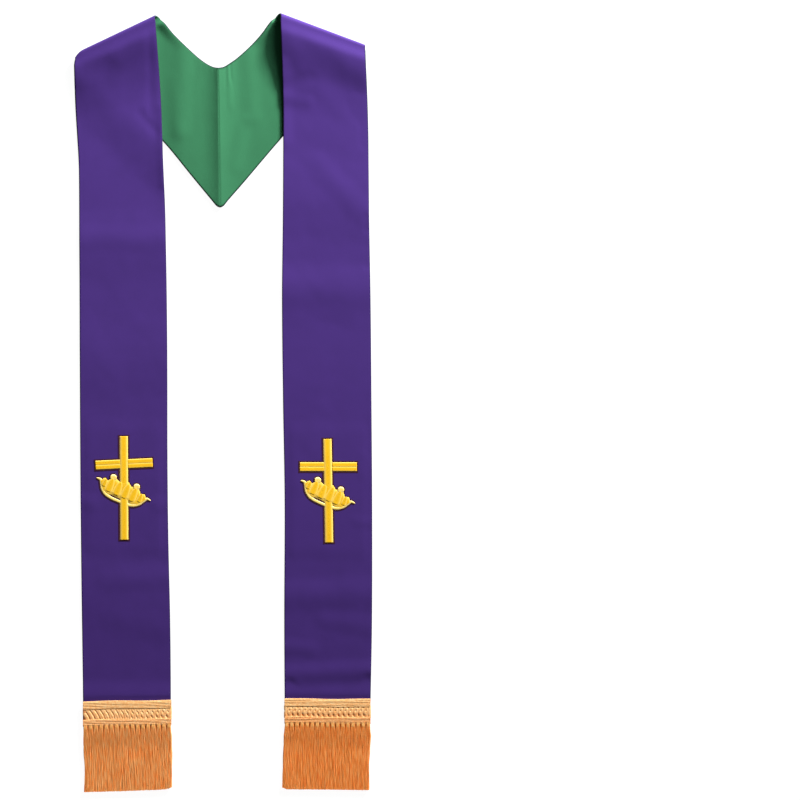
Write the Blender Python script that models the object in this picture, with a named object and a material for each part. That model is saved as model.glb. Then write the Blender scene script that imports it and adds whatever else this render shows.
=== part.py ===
"""A reversible clergy stole laid flat: two lined bands that meet at a pointed centre back,
each folded over at the shoulder so that its front lies on its back, with a fringed hem.

Millimetres in the tables and constants, metres in the meshes. X runs across the stole, Y from
the hems up to the neck, Z up from the surface it lies on. The origin is under its middle.
"""

import math

import bmesh
import bpy
from mathutils import Vector

MM = 0.001

# Cloth: one wall for each face, parted by the seam gap
WALL = 1.0
SEAM = 0.3
HALF_GAP = SEAM / 2
HALF_STACK = HALF_GAP + WALL
STACK = 2 * HALF_STACK
LIE_GAP = 0.4

# Where the fronts end inside the hem trims
TRIM_TOP_Y = -440.5
TRIM_DEPTH = 41.0
TRIM_WALL = 1.2
TRIM_OVERHANG = 0.8
CLOTH_END_Y = -472.0
TRIM_CLIMB = 32.0

# The roll of cloth at each shoulder fold, from the armhole end to the neck end
ROLL_OUTER = 3.6
ROLL_NECK = 7.4
LOFT_RUN_OUTER = 62.0
LOFT_RUN_NECK = 118.0
ROLL_STEPS = 6

# How finely each stretch of a band is divided
COLUMNS = 7
FOLD_ROWS = 13
FOLD_ROW_LENGTH = 14.0
FRONT_ROWS = 19
BACK_ROWS = 9
BACK_ROW_CROWDING = 1.35
SLANT_RUN = 450.0
# A front stays up this far past the edge of the back that it lies on, then comes down
REST_MARGIN = 20.0
REST_RUN = 26.0

# The seam down the centre back, which stands up as a low ridge
SEAM_TOP = (-7.0, 496.8)
SEAM_POINT = (-4.6, 291.0)
RIDGE_HEIGHT = 3.2
RIDGE_HALF_WIDTH = 34.0

# One front and back for each side of the body. Tables run from the shoulder down
LEFT = {
    "name": "left",
    "fold_outer": (-221.0, 518.6),
    "fold_neck": (-100.4, 575.4),
    "front": [
        # y, outer edge x, inner edge x
        (444.3, -219.4, -92.1),
        (361.1, -214.9, -89.1),
        (271.9, -214.0, -85.7),
        (93.6, -213.3, -83.1),
        (-84.7, -212.4, -82.7),
        (-203.6, -211.4, -81.4),
        (-322.5, -209.9, -78.7),
        (-472.0, -207.8, -77.4),
    ],
    # x, y of the neck edge and of the pointed lower edge of the back
    "neck": [(-89.5, 566.2), (-74.7, 548.3), (-56.8, 530.5), (-37.5, 512.7), (-24.0, 502.8), (-14.0, 498.0)],
    "point": [(-156.4, 454.2), (-89.5, 389.3), (-46.4, 337.3), (-16.7, 302.2)],
    # y of the middle, half length and height of each soft swell in the front
    "swells": [(232.0, 66.0, 2.0), (60.0, 72.0, 1.5), (-300.0, 70.0, 1.7)],
    "emblem": {"x": -147.3, "top": -48.9, "arm_y": -90.6, "arm_tilt": 2.7, "lean": -0.3},
}
RIGHT = {
    "name": "right",
    "fold_outer": (210.6, 532.0),
    "fold_neck": (85.2, 578.6),
    "front": [
        (444.3, 214.2, 89.1),
        (361.1, 216.0, 89.1),
        (271.9, 216.9, 88.5),
        (153.1, 219.0, 87.3),
        (4.5, 220.3, 88.8),
        (-144.1, 221.3, 91.2),
        (-322.5, 221.1, 90.6),
        (-472.0, 218.4, 91.4),
    ],
    "neck": [(71.0, 566.2), (57.6, 548.3), (41.2, 530.5), (21.9, 512.7), (8.6, 503.0), (0.4, 498.2)],
    "point": [(150.2, 464.4), (88.8, 396.8), (27.9, 325.4), (7.0, 302.2)],
    "swells": [(300.0, 70.0, 2.2), (150.0, 64.0, 1.6), (-262.0, 60.0, 1.4), (-372.0, 46.0, 1.6)],
    "emblem": {"x": 156.1, "top": -52.9, "arm_y": -94.8, "arm_tilt": 0.0, "lean": 0.9},
}
SIDES = [LEFT, RIGHT]

# The embroidered cross and crown on each front
EMBLEM_WALL = 0.9
BAR_WIDTH = 13.6
BAR_LENGTH = 155.0
ARM_LENGTH = 85.6
ARM_WIDTH = 14.2
CROWN_SHIFT = -0.6
CROWN_DROP = 37.3
CROWN_TILT = -23.4
CROWN_WALL = 0.7
CROWN_PEARL = 4.2
# x and y of the crown's outline from the middle of its base round to the middle of its top
CROWN_HALF = [
    (0.0, -21.5),
    (12.0, -21.0),
    (24.0, -18.2),
    (31.0, -12.6),
    (35.0, -6.4),
    (39.2, -2.2),
    (45.0, -0.6),
    (42.4, 2.6),
    (39.4, 3.4),
    (35.6, 1.4),
    (31.0, 3.8),
    (27.4, 0.8),
    (21.0, 9.0),
    (15.0, 9.0),
    (10.0, 7.6),
    (5.0, 11.5),
    (0.0, 13.0),
]
CROWN_PEARLS = [(-18.0, 12.0), (18.0, 12.0)]

# The woven trim: its raised bands, as depth below the top edge and height of relief
TRIM_COLUMNS = 36
TRIM_LOOP_PITCH = 7.3
TRIM_BANDS = [
    # share of the depth, relief, relief of the loops
    (0.0, 0.0, 0.0),
    (0.06, 0.5, 0.0),
    (0.26, 0.5, 0.0),
    (0.32, 0.2, 0.5),
    (0.50, 0.2, 0.5),
    (0.60, 0.1, 0.3),
    (0.68, 0.6, 0.0),
    (0.84, 0.6, 0.1),
    (1.0, 0.2, 0.5),
]

# The fringe: locks in two interlocked rows, fused into a narrow strip
STRIP_LENGTH = 4.0
LOCKS_PER_ROW = 50
LOCK_INSET = 0.42
LOCK_LENGTH = 90.86
LOCK_STEPS = 3
LOCK_TAPER = 0.82
LOCK_UNEVEN = 2.2
FRINGE_FLOOR = 0.3
FRINGE_HEIGHT = 4.6

PURPLE = (0.070, 0.030, 0.205, 1.0)
GREEN = (0.040, 0.235, 0.105, 1.0)
GOLD_THREAD = (0.870, 0.520, 0.035, 1.0)
GOLD_TRIM = (0.800, 0.400, 0.150, 1.0)
GOLD_FRINGE = (0.720, 0.250, 0.070, 1.0)


def smoothstep(share):
    """0 to 1 with a level start and end."""
    share = min(1.0, max(0.0, share))
    return share * share * (3 - 2 * share)


def mix(first, last, share):
    """The value or point that lies this share of the way from first to last."""
    return first + (last - first) * share


def curve_through(points):
    """A smooth curve through the points, as a function of the share of its length."""
    points = [Vector(p) for p in points]
    knots = [0.0]
    for before, after in zip(points, points[1:]):
        knots.append(knots[-1] + (after - before).length)
    last = len(points) - 1

    def slope(i):
        low, high = max(i - 1, 0), min(i + 1, last)
        return (points[high] - points[low]) / (knots[high] - knots[low])

    def at(share):
        run = min(1.0, max(0.0, share)) * knots[-1]
        i = next((k for k in range(last) if run <= knots[k + 1]), last - 1)
        span = knots[i + 1] - knots[i]
        t = (run - knots[i]) / span
        start = points[i] * (2 * t**3 - 3 * t**2 + 1) + slope(i) * (span * (t**3 - 2 * t**2 + t))
        end = points[i + 1] * (3 * t**2 - 2 * t**3) + slope(i + 1) * (span * (t**3 - t**2))
        return start + end

    return at


def solve(reached, steps=40):
    """The share, from 0 to 1, at which a measure that grows along a curve first reaches its mark."""
    low, high = 0.0, 1.0
    for _ in range(steps):
        middle = (low + high) / 2
        if reached(middle):
            high = middle
        else:
            low = middle
    return high


def shoulder(side):
    """The fold's line, the way in from it, and the four edges of cloth that leave it."""
    outer, neck = Vector(side["fold_outer"]), Vector(side["fold_neck"])
    along = (neck - outer).normalized()
    inward = Vector((along.y, -along.x))
    if inward.y > 0:
        inward = -inward
    front_outer = [outer] + [(x, y) for y, x, _ in side["front"]]
    front_inner = [neck] + [(x, y) for y, _, x in side["front"]]
    shift = -HALF_GAP if side is LEFT else HALF_GAP
    seam_top = (SEAM_TOP[0] + shift, SEAM_TOP[1])
    seam_point = (SEAM_POINT[0] + shift, SEAM_POINT[1])
    return {
        "origin": outer,
        "along": along,
        "inward": inward,
        "front_outer": curve_through(front_outer),
        "front_inner": curve_through(front_inner),
        "neck": curve_through([neck] + side["neck"] + [seam_top]),
        "point": curve_through([outer] + side["point"] + [seam_point]),
    }


def roll_radius(across):
    """Radius of the fold, to the middle of the cloth's thickness."""
    return mix(ROLL_OUTER, ROLL_NECK, across)


def roll_centre(across):
    """How far in from the fold's outermost line the roll's axis lies."""
    return roll_radius(across) + HALF_STACK


def edge_share_at_depth(fold, edge, depth):
    """The share of an edge's length at which it is this far in from the fold's line."""

    def reached(share):
        return (fold[edge](share) - fold["origin"]).dot(fold["inward"]) >= depth

    return solve(reached)


def edge_share_at_y(fold, edge, y):
    """The share of a front edge's length at which it is down at this y."""
    return solve(lambda share: fold[edge](share).y <= y)


def rise_over_back(fold, place):
    """1 where a front lies on the back, 0 where it lies on the floor."""
    share = solve(lambda s: abs(fold["point"](s).x - fold["origin"].x) >= abs(place.x - fold["origin"].x))
    clear = (fold["point"](share).y - place.y) * math.sqrt(0.5)
    return 1.0 - smoothstep((clear - REST_MARGIN) / REST_RUN)


def swell_height(side, y):
    """Height of the soft swells in the front at this y."""
    height = 0.0
    for middle, half_length, rise in side["swells"]:
        away = abs(y - middle) / half_length
        if away < 1.0:
            height += rise * (0.5 + 0.5 * math.cos(math.pi * away))
    return height


def front_height(side, fold, place, across):
    """Height of the middle of a front's thickness at this place on the floor plan."""
    rest = HALF_STACK + (STACK + LIE_GAP) * rise_over_back(fold, place)
    rest += swell_height(side, place.y)
    rest += (TRIM_WALL + SEAM) * smoothstep((TRIM_TOP_Y + TRIM_CLIMB - place.y) / (TRIM_CLIMB - 2.0))
    depth = (place - fold["origin"]).dot(fold["inward"]) - roll_centre(across)
    run = mix(LOFT_RUN_OUTER, LOFT_RUN_NECK, across)
    loft = 1.0 - smoothstep(depth / run)
    top = HALF_STACK + 2 * roll_radius(across)
    return rest + (top - rest) * loft


def back_height(place):
    """Height of the middle of the back's thickness, which climbs to the ridge of its seam."""
    share = min(1.0, max(0.0, (SEAM_TOP[1] - place.y) / (SEAM_TOP[1] - SEAM_POINT[1])))
    seam_x = mix(SEAM_TOP[0], SEAM_POINT[0], share)
    width = RIDGE_HALF_WIDTH * (1.0 - 0.55 * share)
    away = min(1.0, abs(place.x - seam_x) / width)
    return HALF_STACK + RIDGE_HEIGHT * (1.0 - away) ** 2 * (1.0 - 0.6 * share)


def band_sections(side):
    """Sections of a band from its hem, up the front, round the shoulder and down to the seam.

    Each section gives, for a share across the band, the middle of the cloth and the way
    towards the face that shows on the front.
    """
    fold = shoulder(side)
    starts = {
        edge: edge_share_at_depth(fold, edge, roll_centre(0.0 if edge in ("front_outer", "point") else 1.0))
        for edge in ("front_outer", "front_inner", "neck", "point")
    }
    first_outer = fold["front_outer"](starts["front_outer"]).y
    first_inner = fold["front_inner"](starts["front_inner"]).y
    level = (first_outer + first_inner) / 2
    half_slant = (first_inner - first_outer) / 2
    runs = [i * FOLD_ROW_LENGTH for i in range(FOLD_ROWS + 1)]
    flat_run = level - TRIM_TOP_Y - 1.5
    runs += [mix(runs[-1], flat_run, (i + 1) / FRONT_ROWS) for i in range(FRONT_ROWS)]
    runs.append(level - CLOTH_END_Y)

    def front_section(run):
        slant = half_slant * (1.0 - smoothstep(run / SLANT_RUN))
        outer = fold["front_outer"](edge_share_at_y(fold, "front_outer", level - run - slant))
        inner = fold["front_inner"](edge_share_at_y(fold, "front_inner", level - run + slant))

        def at(across):
            place = mix(outer, inner, across)
            return place, front_height(side, fold, place, across), Vector((0.0, 0.0, 1.0))

        return at

    front_first = front_section(0.0)
    back_outer = fold["point"](starts["point"])
    back_neck = fold["neck"](starts["neck"])

    def roll_section(step):
        turned = step / ROLL_STEPS
        angle = math.pi * (0.5 - turned)

        def at(across):
            front_along = (front_first(across)[0] - fold["origin"]).dot(fold["along"])
            back_along = (mix(back_outer, back_neck, across) - fold["origin"]).dot(fold["along"])
            run = mix(front_along, back_along, turned)
            radius = roll_radius(across)
            depth = roll_centre(across) - radius * math.cos(angle)
            place = fold["origin"] + fold["along"] * run + fold["inward"] * depth
            out = -fold["inward"] * math.cos(angle)
            height = HALF_STACK + radius * (1.0 + math.sin(angle))
            return place, height, Vector((out.x, out.y, math.sin(angle)))

        return at

    def back_section(share):
        outer = fold["point"](mix(starts["point"], 1.0, share))
        neck = fold["neck"](mix(starts["neck"], 1.0, share))

        def at(across):
            place = mix(outer, neck, across)
            return place, back_height(place), Vector((0.0, 0.0, -1.0))

        return at

    sections = [front_section(run) for run in reversed(runs)]
    sections += [roll_section(step) for step in range(1, ROLL_STEPS)]
    for i in range(BACK_ROWS + 1):
        sections.append(back_section(1.0 - (1.0 - i / BACK_ROWS) ** BACK_ROW_CROWDING))
    return sections


def finish_object(mesh_builder, name, colour, roughness):
    """Turns a bmesh in millimetres into a named object in metres with its own material."""
    bmesh.ops.scale(mesh_builder, vec=(MM, MM, MM), verts=mesh_builder.verts)
    bmesh.ops.recalc_face_normals(mesh_builder, faces=mesh_builder.faces)
    mesh = bpy.data.meshes.new(name)
    mesh_builder.to_mesh(mesh)
    mesh_builder.free()
    obj = bpy.data.objects.new(name, mesh)
    bpy.context.scene.collection.objects.link(obj)
    material = bpy.data.materials.new(name)
    material.use_nodes = True
    shader = material.node_tree.nodes["Principled BSDF"]
    shader.inputs["Base Color"].default_value = colour
    shader.inputs["Roughness"].default_value = roughness
    shader.inputs["Metallic"].default_value = 0.0
    mesh.materials.append(material)
    return obj


def slab(columns, rows, place):
    """A closed slab of unit cells, each corner moved to place(column, row, layer)."""
    builder = bmesh.new()
    bmesh.ops.create_grid(builder, x_segments=columns, y_segments=rows, size=0.5)
    lower = builder.verts[:]
    made = bmesh.ops.extrude_face_region(builder, geom=builder.faces[:], use_keep_orig=True)
    upper = [item for item in made["geom"] if isinstance(item, bmesh.types.BMVert)]
    for layer, corners in enumerate((lower, upper)):
        for corner in corners:
            column = round((corner.co.x + 0.5) * columns)
            row = round((corner.co.y + 0.5) * rows)
            corner.co = place(column, row, layer)
    return builder


def make_band_face(side, colour_name, colour, offsets):
    """One face of a band: a wall of cloth that keeps its offsets from the band's middle."""
    sections = band_sections(side)

    def place(column, row, layer):
        spot, height, outward = sections[row](column / COLUMNS)
        return Vector((spot.x, spot.y, height)) + outward * offsets[layer]

    builder = slab(COLUMNS, len(sections) - 1, place)
    return finish_object(builder, f"{side['name']}_{colour_name}_band", colour, 0.75)


def trim_box(side):
    """Low and high x of the woven trim, which stands a little proud of the cloth's two edges."""
    _, outer, inner = side["front"][-1]
    return min(outer, inner) - TRIM_OVERHANG, max(outer, inner) + TRIM_OVERHANG


def make_face_trim(side):
    """The woven trim on the face that shows: raised bands and a row of loops over a plain back."""
    low, high = trim_box(side)
    under = TRIM_WALL + SEAM + STACK + SEAM
    waves = (high - low) / TRIM_LOOP_PITCH
    rows = len(TRIM_BANDS) - 1

    def place(column, row, layer):
        share, relief, loop_relief = TRIM_BANDS[rows - row]
        height = under
        if layer == 1:
            loop = 0.5 + 0.5 * math.cos(2 * math.pi * (waves * column / TRIM_COLUMNS + share))
            edge = 0.0 if column in (0, TRIM_COLUMNS) else 1.0
            height += TRIM_WALL - 0.4 + edge * (relief + loop_relief * loop)
        return Vector((mix(low, high, column / TRIM_COLUMNS), TRIM_TOP_Y - share * TRIM_DEPTH, height))

    return finish_object(slab(TRIM_COLUMNS, rows, place), f"{side['name']}_trim_face", GOLD_TRIM, 0.6)


def make_under_trim(side):
    """The same trim on the side that rests on the floor, with its underside flat."""
    low, high = trim_box(side)

    def place(column, row, layer):
        return Vector((mix(low, high, column), TRIM_TOP_Y - (1 - row) * TRIM_DEPTH, TRIM_WALL * layer))

    return finish_object(slab(1, 1, place), f"{side['name']}_trim_under", GOLD_TRIM, 0.6)


def lock_sway(index, share):
    """Sideways drift of a lock of fringe, which its neighbours nearly share."""
    wander = math.sin(2 * math.pi * (index / 27.0) + 2.6 * share)
    return share * (1.9 * wander + 0.8 * math.sin(2 * math.pi * index / 15.0 + 5.0 * share))


def make_fringe(side):
    """A strip whose lower edge is a truss of triangles, each drawn out into a three-sided lock."""
    low, high = trim_box(side)
    pitch = (high - low) / LOCKS_PER_ROW
    top = FRINGE_FLOOR + FRINGE_HEIGHT
    start_y = TRIM_TOP_Y - TRIM_DEPTH - SEAM - STRIP_LENGTH
    builder = bmesh.new()
    number = builder.faces.layers.int.new("lock")
    bottom = [builder.verts.new((low + pitch * i, start_y, FRINGE_FLOOR)) for i in range(LOCKS_PER_ROW + 1)]
    crest = [builder.verts.new((low + pitch * (i + 0.5), start_y, top)) for i in range(LOCKS_PER_ROW)]
    corners = [builder.verts.new((x, start_y, top)) for x in (low, high)]
    locks = []
    for i in range(LOCKS_PER_ROW):
        locks.append(builder.faces.new((bottom[i], bottom[i + 1], crest[i])))
        if i + 1 < LOCKS_PER_ROW:
            locks.append(builder.faces.new((crest[i], bottom[i + 1], crest[i + 1])))
    builder.faces.new((bottom[0], crest[0], corners[0]))
    builder.faces.new((bottom[-1], corners[1], crest[-1]))
    made = bmesh.ops.extrude_face_region(builder, geom=builder.faces[:], use_keep_orig=True)
    back = [item for item in made["geom"] if isinstance(item, bmesh.types.BMVert)]
    bmesh.ops.translate(builder, vec=(0.0, STRIP_LENGTH, 0.0), verts=back)
    bmesh.ops.inset_individual(builder, faces=locks, thickness=LOCK_INSET, use_even_offset=True)
    roots = []
    for lock in sorted(locks, key=lambda face: face.calc_center_median().x):
        lock[number] = len(roots)
        roots.append([vert.co.copy() for vert in lock.verts])
    for step in range(1, LOCK_STEPS + 1):
        share = step / LOCK_STEPS
        locks = bmesh.ops.extrude_discrete_faces(builder, faces=locks)["faces"]
        for lock in locks:
            root = roots[lock[number]]
            middle = sum(root, Vector()) / len(root)
            length = LOCK_LENGTH + LOCK_UNEVEN * math.sin(lock[number] * 2.4)
            drift = Vector((lock_sway(lock[number], share), -length * share, 0.0))
            for vert, start in zip(lock.verts, root):
                vert.co = mix(middle, start, mix(1.0, LOCK_TAPER, share)) + drift
    return finish_object(builder, f"{side['name']}_fringe", GOLD_FRINGE, 0.55)


def prism(outline, bottom, thickness, name):
    """A flat piece with this outline, standing up from bottom."""
    builder = bmesh.new()
    face = builder.faces.new([builder.verts.new((p[0], p[1], bottom)) for p in outline])
    made = bmesh.ops.extrude_face_region(builder, geom=[face], use_keep_orig=True)
    raised = [item for item in made["geom"] if isinstance(item, bmesh.types.BMVert)]
    bmesh.ops.translate(builder, vec=(0.0, 0.0, thickness), verts=raised)
    return finish_object(builder, name, GOLD_THREAD, 0.45)


def turned(points, degrees, middle):
    """Points turned anticlockwise about their origin, then moved to the middle."""
    cos, sin = math.cos(math.radians(degrees)), math.sin(math.radians(degrees))
    return [(middle[0] + x * cos - y * sin, middle[1] + x * sin + y * cos) for x, y in points]


def bar(length, width):
    """A rectangle about its own middle, its length along y."""
    return [(-width / 2, -length / 2), (width / 2, -length / 2), (width / 2, length / 2), (-width / 2, length / 2)]


def crown_outline():
    """A plain coronet with flared ends on a bowed base, about its own middle."""
    mirrored = [(-x, y) for x, y in reversed(CROWN_HALF[1:-1])]
    return CROWN_HALF + mirrored


def circle(middle, radius, sides=10):
    """Corners of a round."""
    turns = [2 * math.pi * i / sides for i in range(sides)]
    return [(middle[0] + radius * math.cos(a), middle[1] + radius * math.sin(a)) for a in turns]


def make_emblem(side):
    """The cross with a crown hung on it, one embroidered piece joined from its parts."""
    emblem = side["emblem"]
    bottom = STACK + SEAM
    middle = (emblem["x"], emblem["top"] - BAR_LENGTH / 2)
    upright = turned(bar(BAR_LENGTH, BAR_WIDTH), emblem["lean"], middle)
    arms = turned(bar(ARM_WIDTH, ARM_LENGTH), emblem["arm_tilt"], (emblem["x"], emblem["arm_y"]))
    crown_middle = (emblem["x"] + CROWN_SHIFT, emblem["arm_y"] - CROWN_DROP)
    crown = turned(crown_outline(), CROWN_TILT, crown_middle)
    parts = [(arms, EMBLEM_WALL - 0.1), (crown, CROWN_WALL)]
    for point in turned(CROWN_PEARLS, CROWN_TILT, crown_middle):
        parts.append((circle(point, CROWN_PEARL), CROWN_WALL + 0.3))
    whole = prism(upright, bottom, EMBLEM_WALL, f"{side['name']}_emblem")
    for number, (outline, thickness) in enumerate(parts):
        joined = prism(outline, bottom, thickness, f"{side['name']}_emblem_part_{number}")
        joined.hide_render = True
        joined.display_type = "WIRE"
        union = whole.modifiers.new(f"join_{number}", "BOOLEAN")
        union.operation = "UNION"
        union.object = joined
    return whole


def build():
    """Clears the scene and makes the stole, one object for each piece that is cut and sewn."""
    for old in list(bpy.data.objects):
        bpy.data.objects.remove(old)
    for side in SIDES:
        make_band_face(side, "purple", PURPLE, (HALF_GAP, HALF_STACK))
        make_band_face(side, "green", GREEN, (-HALF_STACK, -HALF_GAP))
        make_face_trim(side)
        make_under_trim(side)
        make_fringe(side)
        make_emblem(side)


build()
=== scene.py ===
"""A reversible clergy stole laid flat with its purple face up: how it looks.

Sizes are in millimetres until a piece is finished, when its mesh is scaled to metres. X runs
across the stole, Y from the hems to the neck, Z up from the surface that it lies on.
"""

import math

import bmesh
import bpy
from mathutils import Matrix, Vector, noise


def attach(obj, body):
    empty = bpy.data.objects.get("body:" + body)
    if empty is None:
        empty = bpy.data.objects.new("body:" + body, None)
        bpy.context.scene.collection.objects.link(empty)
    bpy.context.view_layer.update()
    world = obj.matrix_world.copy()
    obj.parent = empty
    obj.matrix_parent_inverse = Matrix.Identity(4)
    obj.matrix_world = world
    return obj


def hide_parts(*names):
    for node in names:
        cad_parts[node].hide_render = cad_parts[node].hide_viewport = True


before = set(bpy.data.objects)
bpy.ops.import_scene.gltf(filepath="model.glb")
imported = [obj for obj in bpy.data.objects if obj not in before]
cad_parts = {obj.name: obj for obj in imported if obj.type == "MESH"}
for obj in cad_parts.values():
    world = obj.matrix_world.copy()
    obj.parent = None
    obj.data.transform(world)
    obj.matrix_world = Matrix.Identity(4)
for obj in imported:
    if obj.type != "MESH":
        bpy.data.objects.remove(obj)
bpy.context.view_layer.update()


# Green faces
# Each half of the stole is one band of green polyester twill, cut from its hem over the shoulder
# to the centre back. It is bagged out with a purple band, so its edges turn in to the seam.

MM = 0.001
WALL = 1.0
HALF_GAP = 0.15
HALF_STACK = HALF_GAP + WALL
STACK = 2 * HALF_STACK
LIE_GAP = 0.4
TRIM_TOP_Y = -440.5
TRIM_WALL = 1.2
TRIM_CLIMB = 32.0
TRIM_LEVEL = 2.0
CLOTH_END_Y = -472.0
EMBLEM_LIFT = 0.45
EMBLEM_HALF = (50.0, 84.0)
EMBLEM_FADE = (12.0, 24.0)
EMBLEM_DROP = 78.0

ROLL_OUTER = 3.6
ROLL_NECK = 7.4
ROLL_CREASE = 0.62
SLANT_RUN = 450.0
REST_MARGIN = 8.0
REST_RUN = 64.0
CALM_MARGIN = 4.0
CALM_RUN = 20.0
SAG_LIMIT = 1.4
LOFT_EASE = 0.8
LOFT_START = 8.0
SETTLE_RUN = 18.0
SEAM_TOP = (-7.0, 496.8)
SEAM_POINT = (-4.6, 291.0)
RIDGE_LEFT = (3.2, 28.0)
RIDGE_RIGHT = (5.0, 58.0)
RIDGE_SHARP = 2.4
RIDGE_FADE = 0.25
BACK_SWELL = 1.8
SWELL_START = 92.0
SWELL_RUN = 40.0
COVER_START = 62.0
COVER_RUN = 24.0
LIP_START = 0.88
LIP_RISE = 9.0
LIP_REACH = 70.0
TRIM_PRESS = 0.8
TRIM_PRESS_REACH = 5.5
CORNER_RUN = 15.0
CORNER_DEPTH = 15.0

LEFT = {
    "name": "left",
    "fold_outer": (-221.0, 518.6),
    "fold_neck": (-100.4, 575.4),
    "corner_round": 4.8,
    "neck_lip": 3.0,
    "loft_run": (84.0, 104.0),
    "front": [
        # y, outer edge x, inner edge x
        (444.3, -219.4, -92.1),
        (361.1, -214.9, -89.1),
        (271.9, -214.0, -85.7),
        (93.6, -213.3, -83.1),
        (-84.7, -212.4, -82.7),
        (-203.6, -211.4, -81.4),
        (-322.5, -209.9, -78.7),
        (-472.0, -207.8, -77.4),
    ],
    "neck": [(-89.5, 566.2), (-74.7, 548.3), (-56.8, 530.5), (-37.5, 512.7), (-24.0, 502.8), (-14.0, 498.0)],
    "point": [(-156.4, 454.2), (-89.5, 389.3), (-46.4, 337.3), (-15.5, 300.0), (-9.4, 293.0)],
    "emblem": {"x": -147.3, "top": -48.9, "arm_y": -90.6, "arm_tilt": 2.7, "lean": 0.3},
    "trim_tops": (-443.2, -440.9),
    "trim_foot": (0.97, 0.86, 0.83, 1.0),
    "loop_slant": (11.0, 4.0),
    "loop_open": (0.0, 1.0),
    "fringe_flare": (-2.6, 1.4),
    "fringe_shades": [(1.0, 0.285, 0.054, 1.0), (1.0, 0.39, 0.108, 1.0), (1.0, 0.50, 0.19, 1.0)],
    "fringe_end": [(0.0, -578.6), (0.4, -577.2), (0.86, -575.0), (0.94, -574.0), (1.0, -571.4)],
    "front_folds": [
        # x, y of one end, x, y of the other, half width, height
        (-225.0, 232.0, -80.0, 236.0, 70.0, 1.3),
        (-205.0, 246.0, -92.0, 243.0, 26.0, 0.6),
        (-225.0, 60.0, -80.0, 64.0, 76.0, 0.9),
        (-225.0, -298.0, -80.0, -292.0, 76.0, 0.8),
        (-206.0, 494.0, -176.0, 500.0, 26.0, -0.9),
        (-214.0, 502.0, -118.0, 546.0, 46.0, 2.4),
        (-92.0, 440.0, -89.0, 325.0, 10.0, 0.6),
        (-124.0, 430.0, -101.0, 404.0, 10.0, -0.45),
        (-109.0, 553.0, -107.0, 430.0, 9.0, -0.35),
        (-211.0, -143.0, -196.0, -149.0, 18.0, 0.5),
        (-98.0, -150.0, -82.0, -151.0, 18.0, 0.5),
        (-170.0, -262.0, -80.0, -257.0, 24.0, 0.5),
        (-156.0, -318.0, -92.0, -336.0, 28.0, 0.35),
        (-200.0, -405.0, -182.0, -437.0, 9.0, -0.7),
        (-96.0, -404.0, -80.0, -430.0, 10.0, -0.7),
    ],
    "back_folds": [
        (-58.0, 530.0, -62.0, 405.0, 20.0, 0.6),
        (-21.0, 506.0, -20.0, 482.0, 3.0, -0.7),
        (-14.0, 500.0, -14.0, 470.0, 3.0, -0.5),
        (-80.0, 480.0, -70.0, 400.0, 18.0, 0.35),
    ],
}
RIGHT = {
    "name": "right",
    "fold_outer": (210.6, 532.0),
    "fold_neck": (85.2, 578.6),
    "corner_round": 0.0,
    "neck_lip": 6.0,
    "loft_run": (106.0, 126.0),
    "front": [
        (444.3, 214.2, 89.1),
        (361.1, 216.0, 89.1),
        (271.9, 216.9, 88.5),
        (153.1, 219.0, 87.3),
        (4.5, 220.3, 88.8),
        (-144.1, 221.3, 91.2),
        (-322.5, 221.1, 90.6),
        (-472.0, 218.4, 91.4),
    ],
    "neck": [(71.0, 566.2), (57.6, 548.3), (41.2, 530.5), (21.9, 512.7), (8.6, 503.0), (0.4, 498.2)],
    "point": [(150.2, 464.4), (88.8, 396.8), (27.9, 325.4), (6.6, 301.0), (0.6, 293.4)],
    "emblem": {"x": 156.1, "top": -52.9, "arm_y": -94.8, "arm_tilt": 0.0, "lean": 0.9},
    "trim_tops": (-438.9, -439.5),
    "trim_foot": (0.92, 0.74, 0.65, 1.0),
    "loop_slant": (0.8, 0.8),
    "loop_open": (1.0, 1.0),
    "fringe_flare": (3.4, -2.4),
    "fringe_shades": [(0.91, 0.23, 0.036, 1.0), (0.97, 0.32, 0.068, 1.0), (0.99, 0.42, 0.13, 1.0)],
    "fringe_end": [(0.0, -571.6), (0.05, -574.4), (0.5, -574.7), (1.0, -575.6)],
    "front_folds": [
        (86.0, 318.0, 224.0, 292.0, 76.0, 1.2),
        (214.0, 512.0, 112.0, 548.0, 60.0, 3.2),
        (86.0, 500.0, 88.0, 392.0, 20.0, 0.9),
        (86.0, 158.0, 224.0, 166.0, 64.0, 0.8),
        (118.0, 540.0, 200.0, 444.0, 34.0, -0.8),
        (86.0, 470.0, 128.0, 482.0, 17.0, -0.5),
        (86.0, 455.0, 126.0, 447.0, 14.0, 0.4),
        (140.0, 354.0, 222.0, 268.0, 26.0, 0.6),
        (86.0, 174.0, 224.0, 170.0, 40.0, 0.9),
        (209.0, 415.0, 211.0, 385.0, 11.0, -0.5),
        (213.0, 276.0, 214.0, 258.0, 10.0, -0.5),
        (213.0, 230.0, 214.0, 206.0, 11.0, -0.45),
        (198.0, -176.0, 222.0, -178.0, 18.0, 0.5),
        (86.0, -286.0, 224.0, -282.0, 32.0, 1.0),
        (150.0, -322.0, 224.0, -332.0, 22.0, 0.4),
        (86.0, -362.0, 132.0, -366.0, 18.0, 0.6),
        (90.0, -404.0, 222.0, -398.0, 22.0, 1.2),
        (99.0, -415.0, 114.0, -432.0, 9.0, -0.8),
        (214.0, -408.0, 204.0, -434.0, 10.0, -0.7),
    ],
    "back_folds": [
        (9.0, 502.0, 11.0, 440.0, 7.0, 0.3),
        (38.0, 520.0, 42.0, 425.0, 20.0, 0.7),
        (4.0, 498.0, 4.0, 470.0, 3.0, -0.6),
        (10.5, 503.0, 12.0, 478.0, 3.0, -0.6),
        (30.0, 420.0, 20.0, 350.0, 16.0, 0.4),
    ],
}
SIDES = [LEFT, RIGHT]


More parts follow.
